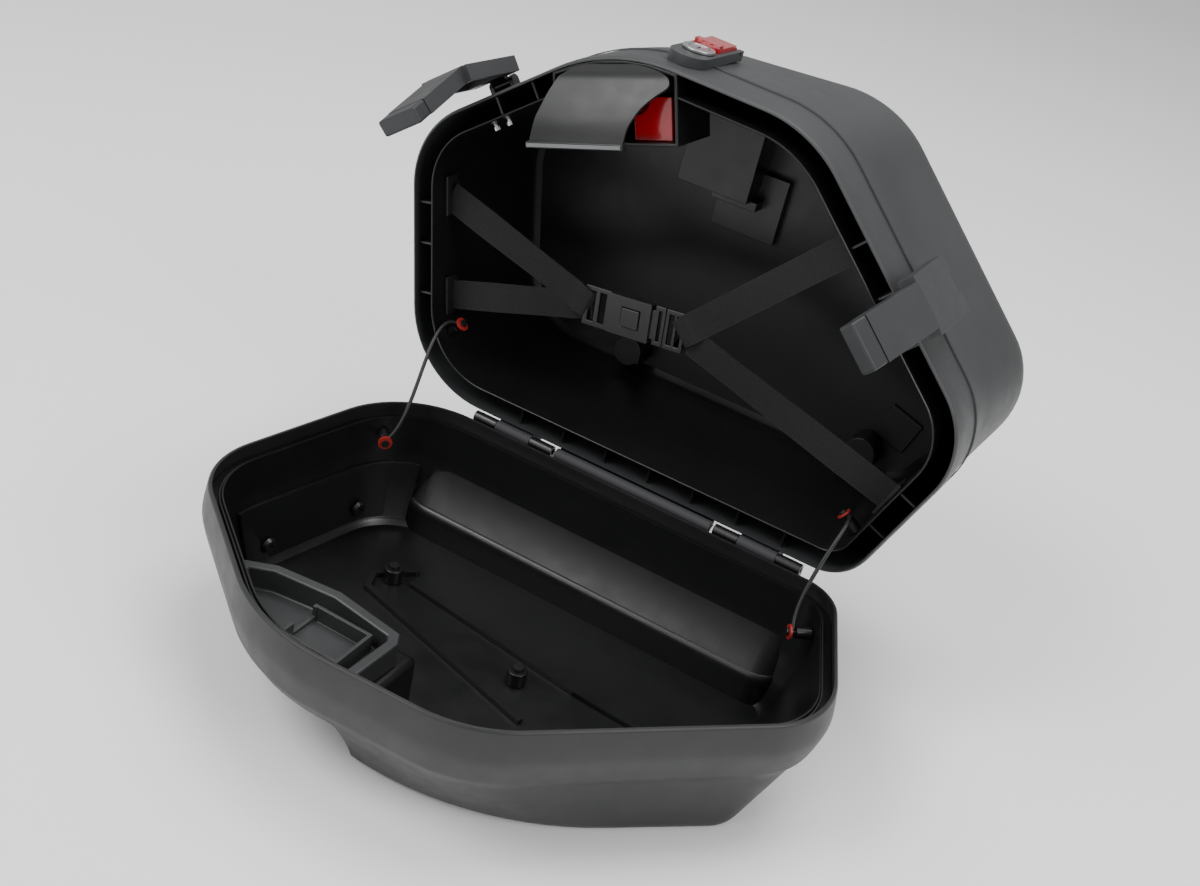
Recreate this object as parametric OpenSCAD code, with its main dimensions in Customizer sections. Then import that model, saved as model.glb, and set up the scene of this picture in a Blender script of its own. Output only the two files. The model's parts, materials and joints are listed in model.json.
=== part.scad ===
// Hard motorcycle side case, lying open on its outer half.
// X runs along the hinge, the outer half lies towards -Y and rests on z = 0.
// The inner (bike side) half is drawn closed, above the rim, and turned open about the hinge.

/* [Outline at the rim] */
// Half length of the straight side along the hinge
hinge_half = 208; // [196:1:216]
// Distance from the hinge axis to the straight side
hinge_gap = 6; // [6:0.5:8]
// Left corner, from the middle
left_x = 253; // [246:1:260]
// Left corner, from the hinge axis
left_d = 220; // [210:1:230]
// Grip corner, left of the middle
grip_x = 95; // [90:1:100]
// Grip corner, from the hinge axis
grip_d = 341; // [334:1:348]
// Right end of the grip side, from the middle
top_x = 76; // [70:1:84]
// Right end of the grip side, from the hinge axis
top_d = 333; // [328:1:338]
// Right corner, from the middle
right_x = 266; // [260:1:272]
// Right corner, from the hinge axis
right_d = 152; // [146:1:160]
// Radius of the grip corner
grip_r = 150; // [130:5:155]

/* [Depths and walls] */
// Depth of the outer half below the rim
cover_depth = 118; // [112:1:124]
// Depth of the inner half behind the rim
base_depth = 166; // [160:1:176]
// Depth of the upper tier of the outer half
tier_depth = 44; // [42:1:46]
// Wall of the outer half's skin
cover_t = 3.2; // [2.8:0.1:3.4]
// Wall of the outer half's liner
cover_in_t = 2.8; // [2.4:0.1:3]
// Wall of the inner half's skin
base_t = 2.2; // [2:0.1:2.6]
// Wall of the inner half's liner
base_in_t = 1.8; // [1.6:0.1:2.2]
// Inset of the ledge in the outer half
ledge_in = 12; // [11:0.5:13]
// Depth of the ledge below the rim
ledge_z = 14; // [12:0.5:15]
// Inset of the lip of the inner half
lip_in = 17.6; // [16.5:0.1:18.5]
// Angle at which the case stands open
open_angle = 94; // [80:1:100]

/* [Hinge] */
// Radius of a hinge pin
hinge_pin_r = 2.5; // [2:0.1:2.8]
// Radius of a hinge knuckle
knuckle_r = 5; // [4.6:0.1:5.2]
// Middle of the left hinge
hinge_left_x = -100; // [-110:1:-92]
// Middle of the right hinge
hinge_right_x = 134; // [126:1:142]
// Width of a moving knuckle
hook_w = 34; // [28:1:38]
// Width of a fixed tab
tab_w = 22; // [18:1:24]

/* [Latches] */
// Width of a latch lever at its root
lever_w = 46; // [42:1:50]
// Width of a latch lever at its tip
lever_tip_w = 36; // [32:1:38]
// Length of the tip of a latch lever
lever_tip_l = 65; // [58:1:68]
// Radius of a latch pin
latch_pin_r = 2; // [1.6:0.1:2.4]

/* [Rack mounts] */
// Bore of a rack socket
socket_bore = 16; // [12:0.5:18]
// Distance of the rack sockets from the hinge axis
socket_d = 50; // [49:1:55]
// Left rack socket, from the middle
socket_left_x = -74; // [-84:1:-66]
// Right rack socket, from the middle
socket_right_x = 158; // [150:1:162]

/* [Straps] */
// Width of the webbing
strap_w = 25; // [20:1:26]
// Thickness of the webbing
strap_t = 1.4; // [1.2:0.1:1.6]
// Depth of the straps behind the rim
strap_z = 27; // [25:1:30]
// Middle of the buckle, from the middle of the case
buckle_x = -31; // [-36:1:-26]
// Middle of the buckle, from the hinge axis
buckle_d = 131; // [126:1:136]

/* [Hidden] */
$fn = 48;
seat = 0.3;
run = 0.06;
through = 1;
arc_steps = 5;
edge_r = 5;
rim_edge = 1;
bulge = 3;
bulge_z = 20;
flare = 1;
flare_z = 12;
straight_z = 70;
tier_step = 9;
tier_band = 14;
ledge_t = 4;
base_edge = 13;
liner_edge = 7;
rim_gap = 0.4;
lip_z = 1;
lip_deep = 40;
liner_gap = 6;

rim_pts = [
  [-hinge_half, -hinge_gap], [-left_x, -left_d], [-grip_x, -grip_d],
  [top_x, -top_d], [right_x, -right_d], [hinge_half, -hinge_gap]
];
rim_r = [84, 74, grip_r, 106, 70, 40];
foot_pts = [
  [-hinge_half + 10, -hinge_gap - 20], [-left_x + 20, -left_d + 14], [-grip_x, -grip_d + 49],
  [top_x - 6, -top_d + 27], [right_x - 44, -right_d - 20], [hinge_half - 12, -hinge_gap - 20]
];
foot_r = [66, 60, 90, 250, 30, 34];
back_pts = [
  [-hinge_half + 12, -hinge_gap - 12], [-left_x + 17, -left_d + 8], [-grip_x + 5, -grip_d + 10],
  [top_x + 16, -top_d - 8], [right_x + 16, -right_d - 8], [hinge_half - 8, -hinge_gap - 10]
];
back_r = [80, 70, 120, 100, 66, 40];

hinge_y = 150;
notch_x = 30;
notch_d = 240;
notch_top = -62;
cover_in_e = cover_t + seat;
cover_room_e = cover_in_e + cover_in_t;
base_in_e = base_t + seat;
base_room_e = base_in_e + base_in_t;
cover_floor = -cover_depth + cover_room_e;
base_floor = base_depth - base_room_e;

// Outline: vertices with a fillet in each, and the same outline set inwards
function unit(v) = v / norm(v);
function at(p, i) = p[(i + len(p)) % len(p)];
function to_prev(p, i) = unit(at(p, i - 1) - p[i]);
function to_next(p, i) = unit(at(p, i + 1) - p[i]);
function half_angle(p, i) = acos(to_prev(p, i) * to_next(p, i)) / 2;
function inward(p, i) = unit(to_prev(p, i) + to_next(p, i));
function inset(p, e) = [for (i = [0:len(p) - 1]) p[i] + inward(p, i) * e / sin(half_angle(p, i))];
function arc_at(p, i, r) = let (
    h = half_angle(p, i),
    c = p[i] + inward(p, i) * r / sin(h),
    s = p[i] + to_prev(p, i) * r / tan(h) - c,
    w = atan2(s.y, s.x)
  ) [for (k = [0:arc_steps]) c + r * [cos(w + (180 - 2 * h) * k / arc_steps),
                                      sin(w + (180 - 2 * h) * k / arc_steps)]];
function outline(p, r, e) = let (q = inset(p, e))
  [for (i = [0:len(p) - 1]) each arc_at(q, i, max(r[i] - e, 4))];
function ring(p, r, e, z) = [for (v = outline(p, r, e)) [v.x, v.y, z]];

// A closed skin over rings of points, lowest ring first
module loft(rings) {
  n = len(rings[0]);
  m = len(rings);
  polyhedron(
    points = [for (g = rings) each g],
    faces = [
      [for (i = [0:n - 1]) i],
      [for (i = [n - 1:-1:0]) (m - 1) * n + i],
      for (k = [0:m - 2]) for (i = [0:n - 1]) let (j = (i + 1) % n) each [
        [k * n + i, (k + 1) * n + i, (k + 1) * n + j],
        [k * n + i, (k + 1) * n + j, k * n + j]
      ]
    ],
    convexity = 10
  );
}

function foot_rings(e) = [
  ring(foot_pts, foot_r, edge_r + e, -cover_depth + e),
  ring(foot_pts, foot_r, e, -cover_depth + edge_r + e),
  ring(rim_pts, rim_r, tier_step + e, -tier_depth - tier_band)
];

// The outer half as a solid, set in by e, below z = top
module cover_solid(e, top_in, top) {
  difference() {
    loft(concat(foot_rings(e), top_in));
    translate([-left_x - 50, -grip_d - 60, -cover_depth - 10])
      cube([left_x + 50 - notch_x + e, grip_d + 60 - notch_d + e, cover_depth + 10 + notch_top + e]);
  }
}

module cover_outside() {
  cover_solid(0, [
    ring(rim_pts, rim_r, -bulge, -tier_depth),
    ring(rim_pts, rim_r, -bulge, -bulge_z),
    ring(rim_pts, rim_r, 0, -rim_edge),
    ring(rim_pts, rim_r, rim_edge, 0)
  ]);
}

module cover_inside() {
  cover_solid(cover_t, [
    ring(rim_pts, rim_r, cover_t - bulge, -tier_depth),
    ring(rim_pts, rim_r, cover_t - bulge, -bulge_z),
    ring(rim_pts, rim_r, cover_t, -rim_edge),
    ring(rim_pts, rim_r, cover_t, through)
  ]);
}

module liner_outside() {
  cover_solid(cover_in_e, [
    ring(rim_pts, rim_r, ledge_in - cover_in_t, -tier_depth),
    ring(rim_pts, rim_r, ledge_in - cover_in_t, -ledge_z)
  ]);
}

// The room inside the liner of the outer half, set in by another e
module cover_room(e) {
  cover_solid(cover_room_e + e, [
    ring(rim_pts, rim_r, ledge_in + e, -tier_depth),
    ring(rim_pts, rim_r, ledge_in + e, through)
  ]);
}

// The inner half as a solid, set in by e
module base_solid(e, low) {
  loft([
    ring(rim_pts, rim_r, low > 0 ? e + rim_edge : e, low > 0 ? rim_gap : -through),
    ring(rim_pts, rim_r, e, rim_gap + rim_edge),
    ring(rim_pts, rim_r, e - flare, flare_z),
    ring(rim_pts, rim_r, e - flare, straight_z),
    ring(back_pts, back_r, e, base_depth - base_edge - e),
    ring(back_pts, back_r, e + base_edge, base_depth - e)
  ]);
}

module base_room(e) {
  loft([
    ring(rim_pts, rim_r, lip_in + base_in_t + e, -through),
    ring(rim_pts, rim_r, lip_in + base_in_t + e, lip_deep),
    ring(back_pts, back_r, liner_gap + base_room_e + e, base_floor - liner_edge - e),
    ring(back_pts, back_r, liner_gap + liner_edge + base_room_e + e, base_floor - e)
  ]);
}

module liner_body() {
  loft([
    ring(rim_pts, rim_r, lip_in, lip_z),
    ring(rim_pts, rim_r, lip_in, lip_deep),
    ring(back_pts, back_r, liner_gap + base_in_e, base_depth - base_in_e - liner_edge),
    ring(back_pts, back_r, liner_gap + liner_edge + base_in_e, base_depth - base_in_e)
  ]);
}

// Places: each half in its own closed frame, then in the standing frame
module cover() { translate([0, hinge_y, cover_depth]) children(); }
module base() { translate([0, hinge_y, cover_depth]) rotate([-open_angle, 0, 0]) children(); }

// Frame on an edge of the outline: X along the edge, Y outwards, Z away from the other half
module on_edge(i, share, out) {
  a = rim_pts[i];
  b = at(rim_pts, i + 1);
  m = a + (b - a) * share;
  dir = unit(b - a);
  translate([m.x, m.y, 0]) rotate([0, 0, atan2(dir.y, dir.x)]) translate([0, -out, 0])
    mirror([0, 1, 0]) children();
}

// Frame in the grip corner: X along the case, Y inwards, Z away from the outer half
grip_h = half_angle(rim_pts, 2);
grip_in = inward(rim_pts, 2);
grip_mid = rim_pts[2] + grip_in * (grip_r / sin(grip_h) - grip_r);
module in_grip() {
  translate([grip_mid.x, grip_mid.y, 0]) rotate([0, 0, atan2(grip_in.y, grip_in.x) - 90]) children();
}

// A rod along X
module rod_x(r, l) { rotate([0, 90, 0]) cylinder(r = r, h = l, center = true); }

// ---- Outer half ----
module cover_skin() {
  color("dimgray") cover() difference() {
    cover_outside();
    cover_inside();
  }
}

module cover_liner() {
  color("#17181a") cover() difference() {
    union() {
      liner_outside();
      loft([
        ring(rim_pts, rim_r, flange_e, -ledge_z - ledge_t),
        ring(rim_pts, rim_r, flange_e, -ledge_z)
      ]);
    }
    cover_room(0);
    for (p = boss_pts) translate([p.x, p.y, cover_floor - cover_in_t - through])
      cylinder(r = boss_foot_r + seat, h = cover_in_t + 2 * through);
  }
}
flange_e = cover_t + seat - bulge * 0.6;

boss_pts = [[-130, -112], [18, -150]];
boss_foot_r = 5;
boss_r = 8;
boss_h = 13;
boss_hole_r = 2.2;
boss_screw_l = 9;
boss_head_r = 4.2;
boss_head_h = 2.4;
ridge_w = 5;
ridge_h = 4;

// Raised ridge on the floor: a loop round the left boss and a run to the right boss
module cover_ribs() {
  color("#1d1e20") cover() translate([0, 0, cover_floor + seat]) {
    difference() {
      union() {
        for (k = [0:2]) ridge_run(ridge_pts[k], ridge_pts[k + 1]);
        for (k = [0:1]) ridge_run(crease_pts[k], crease_pts[k + 1]);
      }
      for (p = boss_pts) translate([p.x, p.y, -through]) cylinder(r = boss_r + seat, h = 10);
    }
  }
}
ridge_pts = [[-120, -92], [-145, -118], [-138, -136], [46, -188]];
crease_pts = [[-112, -108], [60, -130], [132, -134]];
module ridge_run(a, b) {
  d = b - a;
  translate([a.x, a.y, 0]) rotate([0, 0, atan2(d.y, d.x)]) {
    translate([0, -ridge_w / 2, 0]) cube([norm(d), ridge_w, ridge_h]);
    cylinder(r = ridge_w / 2 + 0.4, h = ridge_h - 0.2);
  }
}

module cover_bosses() {
  color("#1b1c1e") cover() for (p = boss_pts) translate([p.x, p.y, 0]) difference() {
    union() {
      translate([0, 0, cover_floor + seat]) cylinder(r = boss_r, h = boss_h);
      translate([0, 0, -cover_depth + cover_t + seat]) cylinder(r = boss_foot_r, h = cover_room_e);
    }
    translate([0, 0, cover_floor + 1]) cylinder(r = boss_hole_r + run, h = boss_h + through);
  }
}

module boss_screws() {
  color("#3a3b3d") cover() for (p = boss_pts) translate([p.x, p.y, cover_floor + seat + boss_h]) {
    translate([0, 0, seat]) cylinder(r = boss_head_r, h = boss_head_h);
    translate([0, 0, -boss_screw_l]) cylinder(r = boss_hole_r, h = boss_screw_l + seat);
  }
}

panel_y0 = 30;
panel_y1 = left_d - 24;
panel_z0 = -104;
panel_z1 = -52;
panel_t = 3;
// Slice of the wall's inner face, from depth a to depth b off the wall
module wall_slice(a, b) {
  difference() {
    cover_room(a);
    cover_room(b);
  }
}
module end_panel() {
  color("#1b1c1e") cover() difference() {
    intersection() {
      wall_slice(seat, seat + panel_t);
      translate([-left_x, -panel_y1, panel_z0])
        cube([left_x / 3, panel_y1 - panel_y0, panel_z1 - panel_z0]);
    }
    for (y = panel_screw_y) panel_screw_at(y)
      translate([0, 0, -4 * panel_t]) cylinder(r = panel_screw_r + run, h = 8 * panel_t);
  }
}
panel_screw_y = [-panel_y0 - 46, -panel_y1 + 26];
panel_screw_z = -90;
panel_screw_r = 2;
panel_screw_l = 3.4;
panel_head_r = 7;
panel_head_h = 3;
// Frame on the left end wall of the outer half, Z into the case
module panel_screw_at(y) {
  edge = unit(rim_pts[1] - rim_pts[0]);
  translate([left_wall_x(y) + panel_wall_in, y, panel_screw_z])
    rotate([0, 0, atan2(edge.y, edge.x) + 90]) rotate([0, 90, 0])
    children();
}
panel_wall_in = 26;
module panel_screws() {
  color("#55575a") cover() for (y = panel_screw_y) panel_screw_at(y) {
    difference() {
      translate([0, 0, seat]) cylinder(r1 = panel_head_r, r2 = panel_head_r - 1.5, h = panel_head_h);
      translate([0, 0, seat + panel_head_h / 2]) cylinder(r = panel_screw_r, h = panel_head_h);
    }
    translate([0, 0, -panel_screw_l]) cylinder(r = panel_screw_r, h = panel_screw_l + 2 * seat);
  }
}

module rim_seal() {
  color("#2a2b2d") cover() difference() {
    loft([
      ring(rim_pts, rim_r, seal_in, -ledge_z + seat),
      ring(rim_pts, rim_r, seal_in, -ledge_z + seal_h)
    ]);
    loft([
      ring(rim_pts, rim_r, seal_in + seal_w, -ledge_z),
      ring(rim_pts, rim_r, seal_in + seal_w, -ledge_z + seal_h + through)
    ]);
  }
}
seal_in = 8.2;
seal_w = 2.2;
seal_h = 2.8;

// Cup for the grip: a flat frame on a low wall, above the notch of the outer half
pocket_from = [-grip_x, -grip_d];
pocket_pts = [[-91, 79], [-55, 98], [-1, 105], [59, 96], [65, 85], [61, 1], [-95, 1]];
pocket_top = -34;
pocket_wall = 9;
pocket_t = 2.5;
pocket_base = notch_top + cover_room_e + seat;
module pocket_plan(e) { translate(pocket_from) offset(r = -e) polygon(pocket_pts); }
module grip_pocket() {
  color("#5b5d60") cover() difference() {
    intersection() {
      translate([0, 0, pocket_base]) linear_extrude(pocket_top - pocket_base) pocket_plan(0);
      cover_room(seat);
    }
    intersection() {
      translate([0, 0, pocket_base + pocket_t]) linear_extrude(pocket_top - pocket_base)
        pocket_plan(pocket_wall);
      translate([0, 0, pocket_t - pocket_wall]) cover_room(pocket_wall);
    }
  }
}
insert_at = [-9, 43];
insert_size = [52, 42, 15];
insert_wall = 3;
insert_t = 2.4;
insert_notch = [14, 24, 6];
module pocket_insert() {
  color("#6b6d70") cover()
    translate([pocket_from.x + insert_at.x, pocket_from.y + insert_at.y, pocket_base + pocket_t + seat])
    difference() {
      cube(insert_size);
      translate([insert_wall, insert_wall, insert_t])
        cube([insert_size.x - 2 * insert_wall, insert_size.y - 2 * insert_wall, insert_size.z]);
      translate([-through, insert_notch[0], insert_notch[2]])
        cube([2 * insert_wall, insert_notch[1], insert_size.z]);
    }
}

// Hinge: fixed tabs and pins on the outer half, hooks on the inner half
hinge_xs = [hinge_left_x, hinge_right_x];
tab_web = 22;
fence_t = 2.4;
module hinge_tabs() {
  color("#2b2c2e") cover() for (x = hinge_xs) for (s = [-1, 1])
    translate([x + s * (hook_w / 2 + seat + tab_w / 2), 0, 0]) difference() {
      union() {
        rod_x(knuckle_r, tab_w);
        translate([-tab_w / 2, -hinge_gap + bulge + seat, -tab_web])
          cube([tab_w, knuckle_r + hinge_gap - bulge - seat, tab_web]);
      }
      rod_x(hinge_pin_r + run, tab_w + 2);
    }
}
fence_gap = 4;
fence_x = [
  hinge_left_x + hook_w / 2 + tab_w + fence_gap,
  hinge_right_x - hook_w / 2 - tab_w - fence_gap
];
module hinge_fence() {
  color("#2b2c2e") cover() {
    translate([fence_x[0], -hinge_gap + bulge + seat, -tab_web])
      cube([fence_x[1] - fence_x[0], fence_t, tab_web]);
    translate([(fence_x[0] + fence_x[1]) / 2, 0, 0]) rod_x(knuckle_r, fence_x[1] - fence_x[0]);
  }
}
module hinge_pins() {
  color("#d8d2bd") cover() for (x = hinge_xs) translate([x, 0, 0])
    rod_x(hinge_pin_r, hook_w + 2 * tab_w - 4);
}
module hinge_hooks() {
  color("#2b2c2e") base() for (x = hinge_xs) translate([x, 0, 0]) difference() {
    union() {
      rod_x(knuckle_r, hook_w);
      translate([-hook_w / 2, -hinge_gap + flare + seat, 0])
        cube([hook_w, knuckle_r + hinge_gap - flare - seat, tab_web]);
    }
    rod_x(hinge_pin_r + run, hook_w + 2);
  }
}

// Angle strip of the inner half that closes the gap behind the barrel
guard_over = 3;
module hinge_guard() {
  len = fence_x[1] - fence_x[0];
  y0 = -hinge_gap + flare + seat;
  z0 = knuckle_r + seat;
  color("#2b2c2e") base() translate([fence_x[0], y0, z0]) {
    cube([len, fence_t, tab_web - z0]);
    cube([len, guard_over - y0, fence_t]);
  }
}

// Places of the two latches on the outline
latch_edges = [1, 3];
latch_shares = [0.32, 0.56];

// Place of the rim's two slanted ends at y
function left_wall_x(y) = -hinge_half - (left_x - hinge_half) * (-y - hinge_gap) / (left_d - hinge_gap);
function right_wall_x(y) = hinge_half + (right_x - hinge_half) * (-y - hinge_gap) / (right_d - hinge_gap);

// Posts, washers and screws of the two limit cords
cord_r = 1.7;
post_r = 5;
washer_r = 6;
washer_t = 1.6;
screw_r = 1.6;
screw_in = 6;
post_l = 12;
cover_post_y = [-hinge_gap - 52, -hinge_gap - 39];
cover_post_in = [27.93, 29.49];
cover_post_x = [left_wall_x(cover_post_y[0]) + cover_post_in[0],
  right_wall_x(cover_post_y[1]) - cover_post_in[1]];
cover_post_turn = [-48, 215];
cover_post_z = -24;
base_post_y = [-hinge_gap - 54, -hinge_gap - 42];
base_post_in = [33.36, 34.68];
base_post_x = [left_wall_x(base_post_y[0]) + base_post_in[0],
  right_wall_x(base_post_y[1]) - base_post_in[1]];
base_post_z = 22;
module cord_post_at(x, y, z, turn) {
  translate([x, y, z]) rotate([0, 0, turn]) rotate([0, 90, 0]) children();
}
module washer_body() {
  difference() {
    translate([0, 0, cord_r * 2 + 2 * seat]) cylinder(r = washer_r, h = washer_t);
    cylinder(r = screw_r + run, h = 20);
  }
}
module screw_body() {
  translate([0, 0, -screw_in]) cylinder(r = screw_r, h = screw_in + cord_r * 2 + washer_t + 3 * seat);
  translate([0, 0, cord_r * 2 + washer_t + 3 * seat]) cylinder(r = 3.2, h = 1.8);
}
module cover_posts() {
  for (k = [0, 1]) cord_post_at(cover_post_x[k], cover_post_y[k], cover_post_z, cover_post_turn[k])
    children();
}
module base_posts() {
  for (k = [0, 1]) cord_post_at(base_post_x[k], base_post_y[k], base_post_z, cover_post_turn[k]) children();
}
module cover_cord_posts() {
  color("#202123") cover() intersection() {
    cover_posts() post_body();
    cover_room(seat);
  }
}
module post_body() {
  difference() {
    translate([0, 0, -post_l]) cylinder(r = post_r, h = post_l);
    translate([0, 0, -screw_in - 2]) cylinder(r = screw_r + run, h = post_l);
  }
}
module cover_cord_washers() { color("#c8201c") cover() cover_posts() washer_body(); }
module cover_cord_screws() { color("#8f9194") cover() cover_posts() screw_body(); }
module base_cord_posts() {
  color("#202123") base() intersection() {
    base_posts() post_body();
    base_room(seat);
  }
}
module base_cord_washers() { color("#c8201c") base() base_posts() washer_body(); }
module base_cord_screws() { color("#8f9194") base() base_posts() screw_body(); }

// Limit cords: points in the standing frame, above the rim
function turned(p)
  = [p.x, p.y * cos(open_angle) + p.z * sin(open_angle), -p.y * sin(open_angle) + p.z * cos(open_angle)];
cord_pull = 34;
cord_steps = 12;
cord_sides = 14;
// Direction across a post, turned up or down by mix
function post_side(k) = [-sin(cover_post_turn[k]), cos(cover_post_turn[k]), 0] * (k == 0 ? 1 : -1);
function bezier(a, b, c, d, t) =
  a * pow(1 - t, 3) + b * 3 * t * pow(1 - t, 2) + c * 3 * t * t * (1 - t) + d * t * t * t;
function tube_ring(p, t, r) = let (e1 = unit(cross(t, [1, 0, 0])), e2 = cross(t, e1))
  [for (i = [0:cord_sides - 1]) p + r * (cos(360 * i / cord_sides) * e1 + sin(360 * i / cord_sides) * e2)];
module cord_between(k) {
  turn = cover_post_turn[k];
  off = (cord_r + seat) * [cos(turn), sin(turn), 0];
  side = post_side(k);
  da = unit(side + [0, 0, 1]);
  db = unit(turned(-side) + 0.8 * turned([0, 0, -1]));
  a = [cover_post_x[k], cover_post_y[k], cover_post_z] + off + da * (screw_r + 2 * seat);
  b = turned([base_post_x[k], base_post_y[k], base_post_z] + off) + db * (screw_r + 2 * seat);
  pts = [for (i = [0:cord_steps]) bezier(a, a + da * cord_pull, b + db * cord_pull, b, i / cord_steps)];
  dirs = [for (i = [0:cord_steps]) i == 0 ? da : i == cord_steps ? -db : unit(pts[i + 1] - pts[i - 1])];
  loft([for (i = [0:cord_steps]) tube_ring(pts[i], dirs[i], cord_r)]);
}
module limit_cord_l() { color("#242527") cover() cord_between(0); }
module limit_cord_r() { color("#242527") cover() cord_between(1); }

// ---- Inner half ----
module socket_plan(r) {
  for (x = [socket_left_x, socket_right_x]) translate([x, -socket_d, 0]) circle(r = r);
}
rack_x = [buckle_x - 35, buckle_x + 31];
rack_y = [-grip_d + 41, -grip_d + 119];
module rack_cut(g, z0) {
  translate([rack_x[0] - g, rack_y[0] - g, z0])
    cube([rack_x[1] - rack_x[0] + 2 * g, rack_y[1] - rack_y[0] + 2 * g, base_depth]);
}
socket_tube_r = socket_bore / 2 + 3;
module base_skin() {
  color("#6c6e70") base() difference() {
    base_solid(0, 1);
    base_solid(base_t, 0);
    translate([0, 0, base_depth - 20]) linear_extrude(40) socket_plan(socket_tube_r + seat);
    rack_cut(seat, base_depth - 20);
  }
}
module base_liner() {
  color("#131416") base() difference() {
    liner_body();
    base_room(0);
    translate([0, 0, base_floor - 20]) linear_extrude(40) socket_plan(socket_tube_r + seat);
    rack_cut(seat, base_floor - 20);
    in_grip() translate([-box_l - seat, -30, -5])
      cube([box_l + box_r + 2 * seat, box_in + 30 + seat, box_z + seat + 5]);
  }
}

rib_t = 2;
rib_z0 = 6;
rib_z1 = 26;
// Radial ribs between the skirt and the lip, on each straight side
rib_shares = [[0.36, 0.56, 0.72], [0.42, 0.6], [], [0.34, 0.5, 0.66], [0.44, 0.68],
              [0.14, 0.24, 0.34, 0.44, 0.54, 0.64, 0.74]];
module lip_ribs() {
  color("#1a1b1d") base() for (i = [0:5]) for (s = rib_shares[i]) on_edge(i, s, 0)
    translate([-rib_t / 2, -lip_in + seat, rib_z0])
      cube([rib_t, lip_in - base_t - seat * 2, rib_z1 - rib_z0]);
}

// Band that covers the seam of the inner half
band_z = 46;
band_h = 3;
band_t = 1;
band_end = 4;
module band_break(w) { translate([-w / 2, -band_z / 2, 0]) cube([w, band_z, 2 * band_z]); }
module seam_band() {
  color("#4a4c4e") base() difference() {
    loft([ring(rim_pts, rim_r, -flare - seat - band_t, band_z),
      ring(rim_pts, rim_r, -flare - seat - band_t, band_z + band_h)]);
    loft([ring(rim_pts, rim_r, -flare - seat, band_z - 1),
      ring(rim_pts, rim_r, -flare - seat, band_z + band_h + 1)]);
    for (k = [0, 1]) on_edge(latch_edges[k], latch_shares[k], 0) band_break(lever_w + 2 * band_end);
    on_edge(2, lock_share, 0) band_break(plate_w + 3 * band_end);
    translate([-right_x, -hinge_gap - 2 * band_t, 0]) cube([2 * right_x, band_z, 2 * band_z]);
  }
}

// Lock housing in the grip corner, open towards the outer half
box_l = 52;
box_r = 54;
box_in = 66;
box_z = 60;
box_over = 30;
box_open = 5;
box_t = 2.6;
module housing_block(g) {
  intersection() {
    in_grip() translate([-box_l + g, -box_over, g > 0 ? -box_open : rim_gap])
      cube([box_l + box_r - 2 * g, box_in + box_over - g, box_z - g + (g > 0 ? box_open : -rim_gap)]);
    base_solid(base_t + seat + g, 0);
  }
}
module lock_housing() {
  color("#232426") base() difference() {
    housing_block(0);
    housing_block(box_t);
  }
}

// Grip flap: a curved sheet, cut to its plan, with a thick bar on its free edge
flap_in = [4, 15, 26, 38, 50, 62];
flap_z = [0.1, 0.1, -6, -13, -18.5, -21];
flap_t = 2.4;
bar_l = -64;
bar_r = 20;
bar_size = [5, 8];
flap_plan = [
  [-44, 14], [-51, 26], [-58, 44], [-62, 62], [19, 62], [22, 50],
  [30, 37], [40, 27], [51, 23], [48, 15], [22, 5.6], [-22, 5.6]
];
module grip_flap() {
  color("#85888b") base() in_grip() {
    intersection() {
      rotate([90, 0, 90]) translate([0, 0, 1.25 * bar_l]) linear_extrude(-2.5 * bar_l)
        polygon(concat([for (i = [0:5]) [flap_in[i], flap_z[i]]],
                       [for (i = [5:-1:0]) [flap_in[i], flap_z[i] - flap_t]]));
      translate([0, 0, bar_l]) linear_extrude(-2 * bar_l) polygon(flap_plan);
    }
    translate([bar_l, flap_in[5] - 0.5, flap_z[5] - bar_size.x])
      cube([bar_r - bar_l, bar_size.x, bar_size.y]);
  }
}

// Lock plate on the outside, with the key barrel and the red release lever
lock_share = 0.3;
plate_w = 32;
plate_z0 = 16;
plate_z1 = 100;
plate_h = 9;
barrel_r = 8;
barrel_z = 46;
module at_lock() { on_edge(2, lock_share, 0) children(); }
module lock_plate() {
  color("#3b3c3e") base() difference() {
    at_lock() difference() {
      rotate([-90, 0, 0]) translate([0, 0, -6]) linear_extrude(plate_h + 6) plate_plan();
      translate([0, 1, barrel_z]) rotate([-90, 0, 0]) cylinder(r = barrel_r + run, h = 30);
      translate([-lever_cut / 2, release_out - release_r - seat, release_z - release_l - seat])
        cube([lever_cut, 30, 60]);
      translate([0, release_out, release_z]) rod_x(release_pin_r + run, plate_w + 4);
    }
    base_solid(-seat, 0);
  }
}
lever_cut = 23;
module plate_plan() {
  translate([0, -plate_z0 - plate_w / 2]) circle(r = plate_w / 2);
  translate([-plate_w / 2, -plate_z1]) square([plate_w, plate_z1 - plate_z0 - plate_w / 2]);
}
module key_barrel() {
  color("#9b9da0") base() at_lock() difference() {
    translate([0, 2.2, barrel_z]) rotate([-90, 0, 0]) cylinder(r = barrel_r, h = plate_h + 0.2);
    translate([-0.8, plate_h - 2, barrel_z - 4.5]) cube([1.6, 10, 9]);
  }
}
module key_cover() {
  color("#a9abad") base() at_lock() difference() {
    translate([0, plate_h + seat, barrel_z]) rotate([-90, 0, 0]) cylinder(r = 13, h = 2.4);
    translate([0, plate_h - 1, barrel_z]) rotate([-90, 0, 0]) cylinder(r = barrel_r + seat, h = 8);
  }
}
release_pin_r = 1.5;
release_r = 4.2;
release_l = 34;
release_out = 7;
release_z = plate_z1 - 7;
release_w = lever_cut - 2 * seat;
module release_lever() {
  color("#c4161c") base() at_lock() difference() {
    union() {
      translate([0, release_out, release_z]) rod_x(release_r, release_w);
      translate([-release_w / 2, release_out, release_z - release_l]) cube([release_w, 5.4, release_l]);
      translate([-release_w / 2, release_out + 2, release_z - release_l]) cube([release_w, 6, 7]);
    }
    translate([0, release_out, release_z]) rod_x(release_pin_r + run, release_w + 2);
  }
}
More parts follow.
